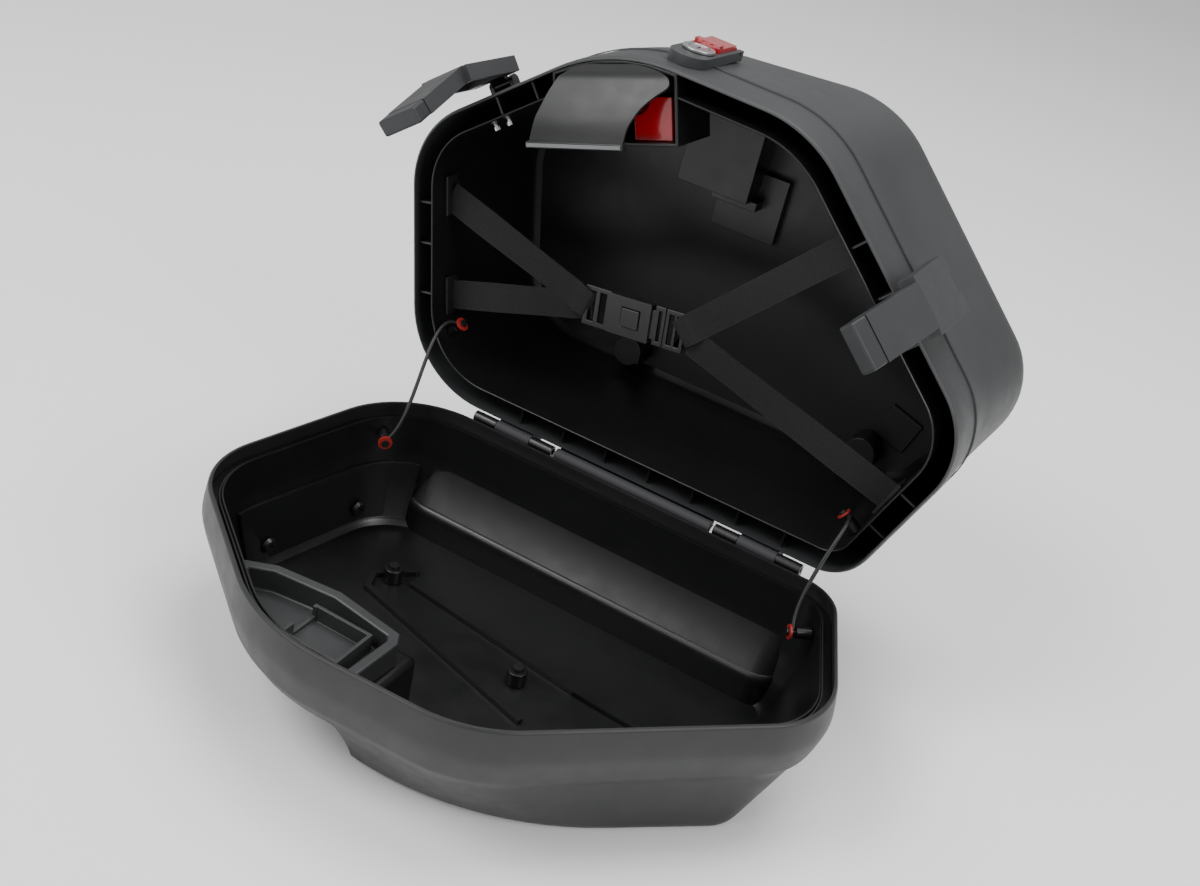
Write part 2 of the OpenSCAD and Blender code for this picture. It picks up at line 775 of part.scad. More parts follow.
module release_pin() {
  color("#8f9194") base() at_lock() translate([0, release_out, release_z])
    rod_x(release_pin_r, plate_w - 2);
}
// Red slider seen in the open housing
slider_u = [14, 46];
slider_in = [30, box_in - box_t - seat];
module release_slider() {
  color("#c4161c") base() in_grip() difference() {
    translate([slider_u[0], slider_in[0], 8])
      cube([slider_u[1] - slider_u[0], slider_in[1] - slider_in[0], 26]);
    translate([slider_u[0], slider_in[0], 0]) cylinder(r = 14, h = 20);
  }
}

// Rack sockets: a D-shaped block on the floor with a blind bore from behind
socket_deep = 22;
block_w = 28;
block_z = 24;
block_back = 9;
module rack_sockets() {
  color("#1c1d1f") base() for (x = [socket_left_x, socket_right_x]) translate([x, -socket_d, 0])
    difference() {
    union() {
      translate([0, 0, base_floor - seat - block_z]) linear_extrude(block_z) union() {
        circle(r = block_w / 2);
        translate([-block_w / 2, 0]) square([block_w, block_back]);
      }
      translate([0, 0, base_floor - 2]) cylinder(r = socket_tube_r, h = base_room_e + 2);
    }
    translate([0, 0, base_depth - socket_deep]) cylinder(d = socket_bore, h = socket_deep + through);
  }
}
// Housing of the upper rack hook: a hollow box, open to the back
rack_wall = 3;
rack_top = 34;
plate_from = [30, 55];
rack_plate = [60, 57, 8];
rack_step = [42, 8, 24];
module rack_housing() {
  color("#1c1d1f") base() difference() {
    union() {
      translate([rack_x[0], rack_y[0], base_floor - rack_top])
        cube([rack_x[1] - rack_x[0], rack_y[1] - rack_y[0], rack_top + base_room_e]);
      translate([rack_x[0] + plate_from[0], rack_y[0] + plate_from[1],
        base_floor - seat - rack_plate[2]]) cube(rack_plate);
      translate([rack_x[0] + plate_from[0], rack_y[1] - 1, base_floor - seat - rack_step[2]])
        cube(rack_step);
    }
    translate([rack_x[0] + rack_wall, rack_y[0] + rack_wall, base_floor - rack_top + rack_wall])
      cube([rack_x[1] - rack_x[0] - 2 * rack_wall, rack_y[1] - rack_y[0] - 2 * rack_wall, rack_top + 20]);
  }
}
relief = [32, 32, 3];
module base_relief() {
  color("#17181a") base() translate([right_x - 98, -right_d + 56, base_floor - seat - relief[2]])
    rotate([0, 0, 18]) cube(relief);
}

// Straps: anchors on the wall, webbing, buckle and tri-glide
anchor_l = 34;
anchor_edges = [0, 0, 3, 4];
anchor_shares = [0.74, 0.34, 0.34, 0.56];
wall_in = lip_in + base_in_t;
anchor_t = 3;
anchor_h = 16;
function edge_point(i, s, e) = let (a = rim_pts[i], b = at(rim_pts, i + 1), d = unit(b - a))
  a + (b - a) * s + e * [-d.y, d.x];
module strap_anchors() {
  color("#303234") base() intersection() {
    for (k = [0:3]) on_edge(anchor_edges[k], anchor_shares[k], 0)
      translate([-anchor_l / 2, -wall_in - seat - anchor_t, strap_z - anchor_h / 2])
        cube([anchor_l, anchor_t + 2, anchor_h]);
    base_room(seat);
  }
}
buckle_turn = -6;
module at_buckle() { translate([buckle_x, -buckle_d, strap_z]) rotate([0, 0, buckle_turn]) children(); }
function buckle_point(x, y) = [buckle_x + x * cos(buckle_turn) - y * sin(buckle_turn),
                               -buckle_d + x * sin(buckle_turn) + y * cos(buckle_turn)];
// A strap from point a on the wall to point b at the buckle, at height z above the plane of the straps
module strap_run(a, b, z) {
  d = b - a;
  translate([a.x, a.y, strap_z + z - strap_t / 2]) rotate([0, 0, atan2(d.y, d.x)])
    translate([0, -strap_w / 2, 0]) cube([norm(d), strap_w, strap_t]);
}
loop_x = 46;
strap_layer = strap_t / 2 + 0.2;
slip = 0.4;
anchor_face = wall_in + seat + anchor_t;
// Share of the webbing's half width by which its nearest corner leads its middle
function lead(d, n) = strap_w / 2 * abs(d.x * n.y - d.y * n.x);
function edge_in(i) = let (d = unit(at(rim_pts, i + 1) - rim_pts[i])) [-d.y, d.x];
function buckle_end(s, y) = let (
    p = buckle_point(s * loop_x, y),
    q = [cos(buckle_turn), sin(buckle_turn)]
  ) [p, s * q];
function strap_a(k, s, y) = let (
    i = anchor_edges[k],
    b = buckle_end(s, y),
    a = edge_point(i, anchor_shares[k], anchor_face),
    d = unit(b[0] - a)
  ) a + edge_in(i) * (slip + lead(d, edge_in(i)));
function strap_b(k, s, y) = let (
    b = buckle_end(s, y),
    a = edge_point(anchor_edges[k], anchor_shares[k], anchor_face),
    d = unit(b[0] - a)
  ) b[0] + b[1] * (slip + lead(d, b[1]));
module strap_ul() {
  color("#3a3a3d") base() strap_run(strap_a(0, -1, -2), strap_b(0, -1, -2), -strap_layer);
}
module strap_ll() {
  color("#3a3a3d") base() strap_run(strap_a(1, -1, 2), strap_b(1, -1, 2), strap_layer);
}
module strap_ur() {
  color("#3a3a3d") base() strap_run(strap_a(2, 1, -2), strap_b(2, 1, -2), -strap_layer);
}
module strap_lr() {
  color("#3a3a3d") base() strap_run(strap_a(3, 1, 2), strap_b(3, 1, 2), strap_layer);
}
buckle_w = 34;
buckle_h = 9;
module buckle_socket() {
  color("#222325") base() at_buckle() difference() {
    union() {
      translate([-22, -buckle_w / 2, -buckle_h / 2]) cube([38, buckle_w, buckle_h]);
      translate([-loop_x, -buckle_w / 2, -2]) difference() {
        cube([loop_x - 20, buckle_w, 4]);
        translate([4, 4, -1]) cube([6, buckle_w - 8, 6]);
        translate([14, 4, -1]) cube([6, buckle_w - 8, 6]);
      }
    }
    translate([-16, -buckle_w / 2 + 4, -2.4]) cube([40, buckle_w - 8, 4.8]);
    translate([-10, -8.3, -buckle_h]) cube([16.6, 16.6, buckle_h]);
  }
}
module buckle_tongue() {
  color("#262729") base() at_buckle() {
    translate([-12, -buckle_w / 2 + 4.4, -2]) cube([32, buckle_w - 8.8, 1.6]);
    translate([19, -buckle_w / 2, -2]) difference() {
      cube([9, buckle_w, 4]);
      translate([3, 4, -1]) cube([3, buckle_w - 8, 6]);
    }
  }
}
module buckle_button() {
  color("#3c3e41") base() at_buckle() translate([-9.7, -8, -buckle_h / 2 - 1.4]) cube([16, 16, 2]);
}
module tri_glide() {
  color("#222325") base() at_buckle() translate([28.6, -buckle_w / 2, -2]) difference() {
    cube([loop_x - 28.6, buckle_w, 4]);
    translate([3, 4, -1]) cube([4.6, buckle_w - 8, 6]);
    translate([10, 4, -1]) cube([4.6, buckle_w - 8, 6]);
  }
}

// Latches: bracket on the skirt, link, lever with an elbow, end cap
bracket_z = 56;
bracket_out = 9;
pin_z = 41;
pin_out = 20;
link_w = 16;
ear_t = 4;
lever_t = 13;
lever_back = 8;
elbow_z = -24;
tip_turn = 16;
lever_in = 13.5;
cap_l = 17;
module latch_at(k) { on_edge(latch_edges[k], latch_shares[k], 0) children(); }
module latch_brackets() {
  color("#2f3032") base() for (k = [0, 1]) latch_at(k) difference() {
    union() {
      translate([-lever_w / 2 + 6, flare + seat, bracket_z - 12]) cube([lever_w - 12, 2.6, 24]);
      for (s = [-1, 1]) translate([s * (link_w / 2 + seat + ear_t / 2), 0, 0]) {
        translate([-ear_t / 2, flare + seat, bracket_z - 5]) cube([ear_t, bracket_out - flare - seat, 10]);
        translate([0, bracket_out, bracket_z]) rod_x(5, ear_t);
      }
      translate([0, bracket_out, bracket_z]) rod_x(latch_pin_r, link_w + 2 * ear_t + 1);
    }
  }
}
module latch_nuts() {
  color("#d9dadc") base() for (k = [0, 1]) latch_at(k) for (s = [-1, 1])
    translate([s * 7, -wall_in - 6, bracket_z - 22]) rotate([-90, 0, 0]) {
      cylinder(r = 2.4, h = 5.7);
      cylinder(r = 3.6, h = 3);
    }
}
module latch_link() {
  a = [bracket_out, bracket_z];
  b = [pin_out, pin_z];
  d = b - a;
  difference() {
    union() {
      translate([0, a[0], a[1]]) rod_x(4, link_w);
      translate([0, b[0], b[1]]) rod_x(4, link_w);
      translate([0, a[0], a[1]]) rotate([atan2(d[1], d[0]), 0, 0]) translate([-link_w / 2 + 0.5, 0, -2])
        cube([link_w - 1, norm(d), 4]);
    }
    translate([0, a[0], a[1]]) rod_x(latch_pin_r + run, link_w + 2);
    translate([0, b[0], b[1]]) rod_x(latch_pin_r + run, link_w + 2);
  }
}
module latch_lever() {
  difference() {
    union() {
      translate([-lever_w / 2, lever_in, elbow_z]) cube([lever_w, lever_t, pin_z + lever_back - elbow_z]);
      translate([0, lever_in + lever_t, elbow_z]) rotate([-tip_turn, 0, 0])
        translate([-lever_tip_w / 2, -lever_t, -lever_tip_l]) cube([lever_tip_w, lever_t, lever_tip_l + 2]);
    }
    translate([-link_w / 2 - seat, lever_in - 1, pin_z - 8]) cube([link_w + 2 * seat, lever_t - 1, 40]);
    translate([-link_w / 2 - seat, lever_in - 1, pin_z + 3]) cube([link_w + 2 * seat, lever_t + 2, 40]);
    translate([-lever_w / 2 + 4, lever_in - 1, elbow_z + 8])
      cube([lever_w - 8, lever_t - 5, pin_z - 10 - elbow_z - 8]);
  }
  translate([0, pin_out, pin_z]) rod_x(latch_pin_r, link_w + 8);
}
module latch_cap() {
  translate([0, lever_in + lever_t, elbow_z]) rotate([-tip_turn, 0, 0])
    translate([-lever_tip_w / 2, -lever_t, -lever_tip_l - seat - cap_l])
      cube([lever_tip_w, lever_t, cap_l]);
}
module latch_l_link() { color("#2f3032") base() latch_at(0) latch_link(); }
module latch_l_lever() { color("#4b4d4f") base() latch_at(0) latch_lever(); }
module latch_l_cap() { color("#75777b") base() latch_at(0) latch_cap(); }
module latch_r_link() { color("#2f3032") base() latch_at(1) latch_link(); }
module latch_r_lever() { color("#4b4d4f") base() latch_at(1) latch_lever(); }
module latch_r_cap() { color("#75777b") base() latch_at(1) latch_cap(); }

cover_skin();
cover_liner();
cover_ribs();
cover_bosses();
boss_screws();
end_panel();
panel_screws();
rim_seal();
grip_pocket();
pocket_insert();
hinge_tabs();
hinge_fence();
hinge_pins();
cover_cord_posts();
cover_cord_washers();
cover_cord_screws();
base_skin();
base_liner();
lip_ribs();
seam_band();
hinge_hooks();
hinge_guard();
lock_housing();
grip_flap();
lock_plate();
key_barrel();
key_cover();
release_lever();
release_pin();
release_slider();
rack_sockets();
rack_housing();
base_relief();
strap_anchors();
strap_ul();
strap_ll();
strap_ur();
strap_lr();
buckle_socket();
buckle_tongue();
buckle_button();
tri_glide();
latch_brackets();
latch_nuts();
latch_l_link();
latch_l_lever();
latch_l_cap();
latch_r_link();
latch_r_lever();
latch_r_cap();
base_cord_posts();
base_cord_washers();
base_cord_screws();
limit_cord_l();
limit_cord_r();
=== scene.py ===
"""Open hard side case of a motorcycle: smooth shells, webbing, cords and finishes over the CAD frame.

Lengths are in millimetres in the closed frame of the CAD source (x along the hinge, y = -d away
from it, z = depth behind the rim) until a piece is placed, then in metres in the row frame.
"""

import json
import math

import bmesh
import bpy
import numpy as np
from mathutils import Matrix, Vector

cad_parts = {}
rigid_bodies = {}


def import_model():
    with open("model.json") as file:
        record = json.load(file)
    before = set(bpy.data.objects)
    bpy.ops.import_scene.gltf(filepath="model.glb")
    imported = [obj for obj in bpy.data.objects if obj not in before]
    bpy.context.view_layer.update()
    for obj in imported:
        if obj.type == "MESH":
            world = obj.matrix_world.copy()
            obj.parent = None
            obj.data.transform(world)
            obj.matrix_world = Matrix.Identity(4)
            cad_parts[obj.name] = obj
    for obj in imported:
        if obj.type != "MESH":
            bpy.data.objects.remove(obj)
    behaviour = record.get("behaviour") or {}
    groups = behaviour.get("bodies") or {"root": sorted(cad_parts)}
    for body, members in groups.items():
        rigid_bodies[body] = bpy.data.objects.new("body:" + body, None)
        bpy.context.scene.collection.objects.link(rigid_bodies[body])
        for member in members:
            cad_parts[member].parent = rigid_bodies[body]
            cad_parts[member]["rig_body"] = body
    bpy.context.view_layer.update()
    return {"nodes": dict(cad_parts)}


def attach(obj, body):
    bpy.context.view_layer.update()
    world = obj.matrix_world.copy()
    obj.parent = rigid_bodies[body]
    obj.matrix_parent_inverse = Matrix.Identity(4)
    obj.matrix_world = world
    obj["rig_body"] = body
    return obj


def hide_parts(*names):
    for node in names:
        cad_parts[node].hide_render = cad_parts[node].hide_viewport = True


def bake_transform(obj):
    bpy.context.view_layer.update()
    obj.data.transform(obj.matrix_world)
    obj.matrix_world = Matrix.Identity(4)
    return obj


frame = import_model()
NODES = frame["nodes"]

MM = 0.001
HINGE_Y = 150.0
COVER_DEPTH = 118.0
BASE_DEPTH = 166.0
OPEN = math.radians(94.0)
TIER = 44.0
SEAT = 0.3
COVER_T, COVER_IN_T = 3.2, 2.8
BASE_T, BASE_IN_T = 2.2, 1.8
COVER_IN_E = COVER_T + SEAT
COVER_ROOM_E = COVER_IN_E + COVER_IN_T
BASE_IN_E = BASE_T + SEAT
BASE_ROOM_E = BASE_IN_E + BASE_IN_T
COVER_FLOOR = -COVER_DEPTH + COVER_ROOM_E
BASE_FLOOR = BASE_DEPTH - BASE_ROOM_E
LEDGE_IN, LEDGE_Z, LEDGE_T = 12.0, 14.0, 4.0
LIP_IN, LIP_DEEP = 17.6, 40.0
BULGE, FLARE = 3.0, 1.0
STRAP_W, STRAP_T, STRAP_Z = 25.0, 1.4, 27.0
NOTCH_X, NOTCH_D, NOTCH_TOP = 30.0, 240.0, -62.0
SOCKET_X, SOCKET_Y, SOCKET_R = (-74, 158), -50, 11.3
HOOK_LOW, HOOK_HIGH = (-66.3, -300.3), (0.3, -221.7)
BOSS_AT, BOSS_R = ((-130, -112), (18, -150)), 5.3
LATCH_AT = ((1, 0.32), (3, 0.56))
LOCK_AT = (2, 0.3)
WEFT_PITCH, WARPS = 0.0019, 12
CORD_R, CORD_SCREW, CORD_PULL = 1.7, 1.6, 34.0

RIM = np.array([(-208, -6), (-253, -220), (-95, -341), (76, -333), (266, -152), (208, -6)], float)
RIM_R = (84, 74, 150, 106, 70, 40)
FOOT = np.array([(-198, -26), (-233, -206), (-95, -292), (70, -306), (222, -172), (196, -26)], float)
FOOT_R = (66, 60, 90, 250, 30, 34)
BACK = np.array([(-196, -18), (-236, -212), (-90, -331), (92, -341), (282, -160), (200, -16)], float)
BACK_R = (80, 70, 120, 100, 66, 40)


# ---- Outlines and lofted shells ----
def unit(v):
    """v / |v|"""
    v = np.asarray(v, float)
    return v / np.linalg.norm(v)


def corner(points, i):
    """Half of a vertex's angle and the direction into the outline, from its two edges."""
    back = unit(points[i - 1] - points[i])
    on = unit(points[(i + 1) % len(points)] - points[i])
    return back, math.acos(float(back @ on)) / 2, unit(back + on)


def outline(points, radii, inset, arc=14, straight=12):
    """The outline set in by inset: arcs c + r (cos w, sin w) in the corners, even points between."""
    ends = []
    for i, r in enumerate(radii):
        back, half, inward = corner(points, i)
        r = max(r - inset, 4)
        vertex = points[i] + inward * inset / math.sin(half)
        centre = vertex + inward * r / math.sin(half)
        first = vertex + back * r / math.tan(half) - centre
        w = math.atan2(first[1], first[0]) + (math.pi - 2 * half) * np.linspace(0, 1, arc + 1)
        ends.append(centre + r * np.column_stack([np.cos(w), np.sin(w)]))
    out = []
    for i, points_i in enumerate(ends):
        out.append(points_i)
        t = np.linspace(0, 1, straight + 1)[1:-1, None]
        out.append(points_i[-1] * (1 - t) + ends[(i + 1) % len(ends)][0] * t)
    return np.vstack(out)


def ring(plan, inset, z):
    """One ring of a shell at height z; plan is 'rim', 'foot' or 'back'."""
    points, radii = {"rim": (RIM, RIM_R), "foot": (FOOT, FOOT_R), "back": (BACK, BACK_R)}[plan]
    flat = outline(points, radii, inset)
    return np.column_stack([flat, np.full(len(flat), float(z))])


def profile(stations, steps=4):
    """Rings through the stations (plan, inset, z, fillet), each fillet a quadratic Bezier blend.

    B(s) = (1-s)^2 (R + a) + 2 s (1-s) R + s^2 (R + b), with a and b towards the two neighbours.
    """
    rings = [ring(*station[:3]) for station in stations]
    out = [rings[0]]
    for k in range(1, len(rings) - 1):
        fillet = stations[k][3]
        if not fillet:
            out.append(rings[k])
            continue
        sides = []
        for other in (rings[k - 1], rings[k + 1]):
            d = other - rings[k]
            share = np.minimum(fillet / np.linalg.norm(d, axis=1), 0.48)
            sides.append(d * share[:, None])
        for s in np.linspace(0, 1, steps + 1):
            out.append(rings[k] + (1 - s) ** 2 * sides[0] + s * s * sides[1])
    return out + [rings[-1]]


def new_object(name, points, faces):
    """An object in the scene from points and faces."""
    mesh = bpy.data.meshes.new(name)
    mesh.from_pydata([tuple(p) for p in points], [], [tuple(f) for f in faces])
    mesh.update()
    o = bpy.data.objects.new(name, mesh)
    bpy.context.scene.collection.objects.link(o)
    return o


def ring_faces(m, n, closed=False):
    """Quads (k, i), (k, i+1), (k+1, i+1), (k+1, i) over m rings of n points; closed joins last to first."""
    k, i = np.meshgrid(np.arange(m if closed else m - 1), np.arange(n), indexing="ij")
    j, on = (i + 1) % n, (k + 1) % m
    return np.stack([k * n + i, k * n + j, on * n + j, on * n + i], -1).reshape(-1, 4).tolist()


def loft(name, rings):
    """A closed body over rings, capped at both ends."""
    n, m = len(rings[0]), len(rings)
    ends = [range(n - 1, -1, -1), range((m - 1) * n, m * n)]
    return new_object(name, np.vstack(rings), ends + ring_faces(m, n))


def rim_band(name, section):
    """A closed band round the rim, its section given as points (inset, z)."""
    rings = [ring("rim", inset, z) for inset, z in section]
    return new_object(name, np.vstack(rings), ring_faces(len(rings), len(rings[0]), True))


def applied(o):
    """The object with its modifiers made part of its mesh."""
    graph = bpy.context.evaluated_depsgraph_get()
    mesh = bpy.data.meshes.new_from_object(o.evaluated_get(graph))
    o.modifiers.clear()
    o.data = mesh
    return o


def cut(o, *tools):
    """o minus each tool, exactly; the tools are used up."""
    for tool in tools:
        step = o.modifiers.new("cut", "BOOLEAN")
        step.operation, step.solver, step.object = "DIFFERENCE", "EXACT", tool
        applied(o)
        bpy.data.objects.remove(tool)
    return o


def block(low, high, round_by=0.0, turn=None):
    """A box from low to high in mm, its edges rounded."""
    bm = bmesh.new()
    bmesh.ops.create_cube(bm, size=1.0)
    low, high = np.array(low, float), np.array(high, float)
    for v in bm.verts:
        v.co = Vector((low + high) / 2 + np.array(v.co) * (high - low))
    if round_by:
        bmesh.ops.bevel(
            bm, geom=bm.edges[:], offset=round_by, segments=4, profile=0.5, affect="EDGES"
        )
    if turn is not None:
        bmesh.ops.transform(bm, matrix=turn, verts=bm.verts)
    mesh = bpy.data.meshes.new("block")
    bm.to_mesh(mesh)
    bm.free()
    o = bpy.data.objects.new("block", mesh)
    bpy.context.scene.collection.objects.link(o)
    return o


def tube_tool(x, y, z0, z1, r, sides=48):
    """A cylinder to cut with."""
    w = 2 * math.pi * np.arange(sides) / sides
    flat = np.column_stack([x + r * np.cos(w), y + r * np.sin(w)])
    return loft("bore", [np.column_stack([flat, np.full(sides, z)]) for z in (z0, z1)])


# ---- Places ----
def cover_place():
    """Closed frame of the outer half, in mm, to the row frame, in metres."""
    return Matrix.Scale(MM, 4) @ Matrix.Translation((0, HINGE_Y, COVER_DEPTH))


def base_place():
    """Closed frame of the inner half, in mm, to the row frame, in metres."""
    return cover_place() @ Matrix.Rotation(-OPEN, 4, "X")


def edge_frame(i, share):
    """Frame on an edge of the outline: X along it, Y outwards, Z behind the rim."""
    a, b = RIM[i], RIM[(i + 1) % len(RIM)]
    d = unit(b - a)
    m = a + (b - a) * share
    return Matrix(((d[0], d[1], 0, m[0]), (d[1], -d[0], 0, m[1]), (0, 0, 1, 0), (0, 0, 0, 1)))


def grip_frame():
    """Frame in the grip corner: X along the case, Y inwards, Z behind the rim."""
    _, half, inward = corner(RIM, 2)
    r = RIM_R[2]
    m = RIM[2] + inward * (r / math.sin(half) - r)
    x_row, y_row = (inward[1], inward[0], 0, m[0]), (-inward[0], inward[1], 0, m[1])
    return Matrix((x_row, y_row, (0, 0, 1, 0), (0, 0, 0, 1)))


def finish(o, name, place, body, nodes, material, sharp=32.0):
    """Places a piece, shades it, gives it its material, attaches it to its body if any, and hides the CAD
    nodes it takes the place of.
    """
    o.name = name
    o.data.name = name
    o.data.transform(place)
    o.data.polygons.foreach_set("use_smooth", np.ones(len(o.data.polygons), bool))
    o.data.set_sharp_from_angle(angle=math.radians(sharp))
    o.data.materials.clear()
    o.data.materials.append(material)
    if body:
        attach(o, body)
    if nodes:
        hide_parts(*nodes)
    return o


# ---- Finishes ----
class Graph:
    """Short calls for a material's nodes; every call gives an output socket."""

    def __init__(self, name):
        self.material = bpy.data.materials.new(name)
        self.material.use_nodes = True
        self.tree = self.material.node_tree
        self.shader = self.tree.nodes["Principled BSDF"]

    def add(self, kind, inputs=(), **settings):
        n = self.tree.nodes.new("ShaderNode" + kind)
        for key, value in settings.items():
            setattr(n, key, value)
        for key, value in dict(inputs).items():
            self.feed(n.inputs[key], value)
        return n

    def feed(self, socket, value):
        if isinstance(value, bpy.types.NodeSocket):
            self.tree.links.new(value, socket)
        else:
            socket.default_value = value

    def math(self, operation, *values):
        n = self.add("Math", operation=operation)
        for socket, value in zip(n.inputs, values):
            self.feed(socket, value)
        return n.outputs[0]

    def noise(self, scale, detail=2.0, where=None):
        where = where or self.add("TexCoord").outputs["Object"]
        return self.add("TexNoise", {"Vector": where, "Scale": scale, "Detail": detail}).outputs["Fac"]

    def spread(self, value, low, high):
        """value, from 0.3 to 0.7, moved to low to high"""
        inputs = {"Value": value, "From Min": 0.3, "From Max": 0.7, "To Min": low, "To Max": high}
        return self.add("MapRange", inputs).outputs["Result"]

    def paint(self, **sockets):
        for key, value in sockets.items():
            self.feed(self.shader.inputs[key.replace("_", " ")], value)
        return self.material


class Value:
    """A shader value; arithmetic on it adds Math nodes."""

    def __init__(self, graph, socket):
        self.graph, self.socket = graph, socket

    def by(self, operation, *others):
        plain = [v.socket if isinstance(v, Value) else v for v in others]
        return Value(self.graph, self.graph.math(operation, self.socket, *plain))

    def __add__(self, other):
        return self.by("ADD", other)

    def __sub__(self, other):
        return self.by("SUBTRACT", other)

    def __rsub__(self, other):
        return self.by("MULTIPLY", -1.0).by("ADD", other)

    def __mul__(self, other):
        return self.by("MULTIPLY", other)

    def __gt__(self, other):
        return self.by("GREATER_THAN", other)

    def __abs__(self):
        return self.by("ABSOLUTE")

    def sin(self):
        return self.by("SINE")

    __radd__, __rmul__ = __add__, __mul__


def rgba(color):
    """A colour with full alpha."""
    return (*color, 1.0)


def mixed(g, share, a, b):
    """Colour a to b by share."""
    n = g.add("Mix", data_type="RGBA")
    g.feed(n.inputs["Factor"], share)
    g.feed(n.inputs["A"], rgba(a))
    g.feed(n.inputs["B"], rgba(b))
    return n.outputs["Result"]


def moulded(name, color, rough, grain=0.12, scale=1500.0, metal=0.0, coat=0.0, shade=0.12):
    """Moulded or metal finish: colour (1 +- shade) by broad noise, fine grain as bump."""
    g = Graph(name)
    broad = g.noise(14.0, 3.0)
    fine = g.noise(scale, 2.0)
    low = tuple(c * (1 - shade) for c in color)
    high = tuple(c * (1 + shade) for c in color)
    bump = g.add("Bump", {"Height": fine, "Strength": grain, "Distance": 0.0004}).outputs["Normal"]
    return g.paint(
        Base_Color=mixed(g, g.spread(broad, 0.0, 1.0), low, high),
        Roughness=g.spread(g.noise(60.0, 3.0), rough * 0.9, rough * 1.1),
        Metallic=metal,
        Coat_Weight=coat,
        Normal=bump,
    )


def woven(name, color):
    """Webbing from its UV, u across in widths and v along in metres.

    Height: sin(2 pi v / weft pitch) + 0.6 sin(2 pi warps u), and 1.2 more on both edges.
    """
    g = Graph(name)
    uv = g.add("SeparateXYZ", {"Vector": g.add("TexCoord").outputs["UV"]})
    across, along = Value(g, uv.outputs["X"]), Value(g, uv.outputs["Y"])
    weft = (along * (2 * math.pi / WEFT_PITCH)).sin()
    warp = (across * (2 * math.pi * WARPS)).sin()
    edge = abs(across - 0.5) > 0.45
    height = weft + 0.6 * warp + 1.2 * edge
    share = height * 0.25 + 0.5
    bump = g.add("Bump", {"Height": height.socket, "Strength": 0.35, "Distance": 0.0003})
    dark, light = tuple(c * 0.6 for c in color), tuple(c * 1.5 for c in color)
    return g.paint(
        Base_Color=mixed(g, share.socket, dark, light),
        Roughness=0.8,
        Normal=bump.outputs["Normal"],
    )


SHELL = moulded("shell_grain", (0.034, 0.0355, 0.037), 0.5, 0.3, 1100.0)
COVER_GREY = moulded("cover_grain", (0.016, 0.0162, 0.0175), 0.46, 0.3, 1100.0)
INNER = moulded("inner_black", (0.0062, 0.0064, 0.007), 0.34, 0.10, 900.0)
INNER_BASE = moulded("inner_black_upper", (0.0052, 0.0054, 0.006), 0.38, 0.10, 900.0)
LATCH = moulded("latch_grain", (0.030, 0.031, 0.033), 0.46, 0.25, 1300.0)
CAP = moulded("cap_satin", (0.022, 0.023, 0.025), 0.5, 0.2, 1300.0)
FLAP = moulded("flap_satin", (0.014, 0.0145, 0.0155), 0.4, 0.1, 1300.0)
BAR = moulded("bar_grey", (0.16, 0.165, 0.17), 0.4, 0.1, 1300.0)
POCKET = moulded("pocket_satin", (0.030, 0.031, 0.032), 0.42, 0.12, 1300.0)
RUBBER = moulded("seal_matt", (0.012, 0.012, 0.013), 0.7, 0.1, 900.0)
CORD = moulded("cord_black", (0.012, 0.012, 0.014), 0.42, 0.1, 900.0)
BAND = moulded("band_matt", (0.030, 0.031, 0.032), 0.6, 0.1, 900.0)
RED = moulded("red_gloss", (0.36, 0.004, 0.010), 0.16, 0.0, 900.0, coat=0.6)
WASHER = moulded("red_plain", (0.33, 0.022, 0.018), 0.4, 0.05, 900.0)
STEEL = moulded("steel_bright", (0.55, 0.55, 0.56), 0.3, 0.02, 900.0, metal=1.0)
DARK_STEEL = moulded("steel_dark", (0.05, 0.05, 0.052), 0.35, 0.02, 900.0, metal=0.8)
CHROME = moulded("chrome_bright", (0.8, 0.8, 0.82), 0.1, 0.0, 900.0, metal=1.0)
LOCK = moulded("lock_satin", (0.5, 0.51, 0.52), 0.32, 0.05, 1200.0, metal=1.0)
WEB = woven("webbing_black", (0.0055, 0.0055, 0.006))
BUCKLE = moulded("buckle_black", (0.014, 0.014, 0.015), 0.34, 0.12, 1300.0)
CREAM = moulded("pin_cream", (0.45, 0.42, 0.34), 0.45, 0.05, 900.0)


# ---- Outer half ----
def notch_tool(e):
    """The room under the grip, set in by e, as a rounded box."""
    low = (-303 - e, -401 - e, -COVER_DEPTH - 30)
    return block(low, (-NOTCH_X + e, -NOTCH_D + e, NOTCH_TOP + e), 7.0)


def foot_part(e):
    """Stations of the outer half up to the upper tier, set in by e."""
    return [
        ("foot", 5 + e, -COVER_DEPTH + e, 0),
        ("foot", e, -COVER_DEPTH + 5 + e, 7),
        ("rim", 9 + e, -TIER - 14, 9),
    ]


def cover_outer():
    """Outside of the outer half: foot, middle tier, bulged upper tier and rim."""
    stations = foot_part(0) + [
        ("rim", 2.5, -TIER - 4.5, 2.5),
        ("rim", 1.2, -TIER, 4),
        ("rim", -BULGE, -TIER + 16, 9),
        ("rim", -BULGE, -20, 9),
        ("rim", 0, -1.2, 1.0),
        ("rim", 1.2, 0, 0),
    ]
    return profile(stations)


def cover_shell():
    """Skin of the outer half: its outside minus the same set in by the wall."""
    outer = cut(loft("outer", cover_outer()), notch_tool(0))
    e = COVER_T
    inner = profile(
        foot_part(e)
        + [
            ("rim", e - BULGE, -TIER + 8, 8),
            ("rim", e - BULGE, -20, 9),
            ("rim", e, -1.2, 1.0),
            ("rim", e, 4, 0),
        ]
    )
    inner = cut(loft("inner", inner), notch_tool(e))
    o = cut(outer, inner)
    finish(o, "shell_cover", cover_place(), "cover_half", ["cover_skin"], COVER_GREY, 28)


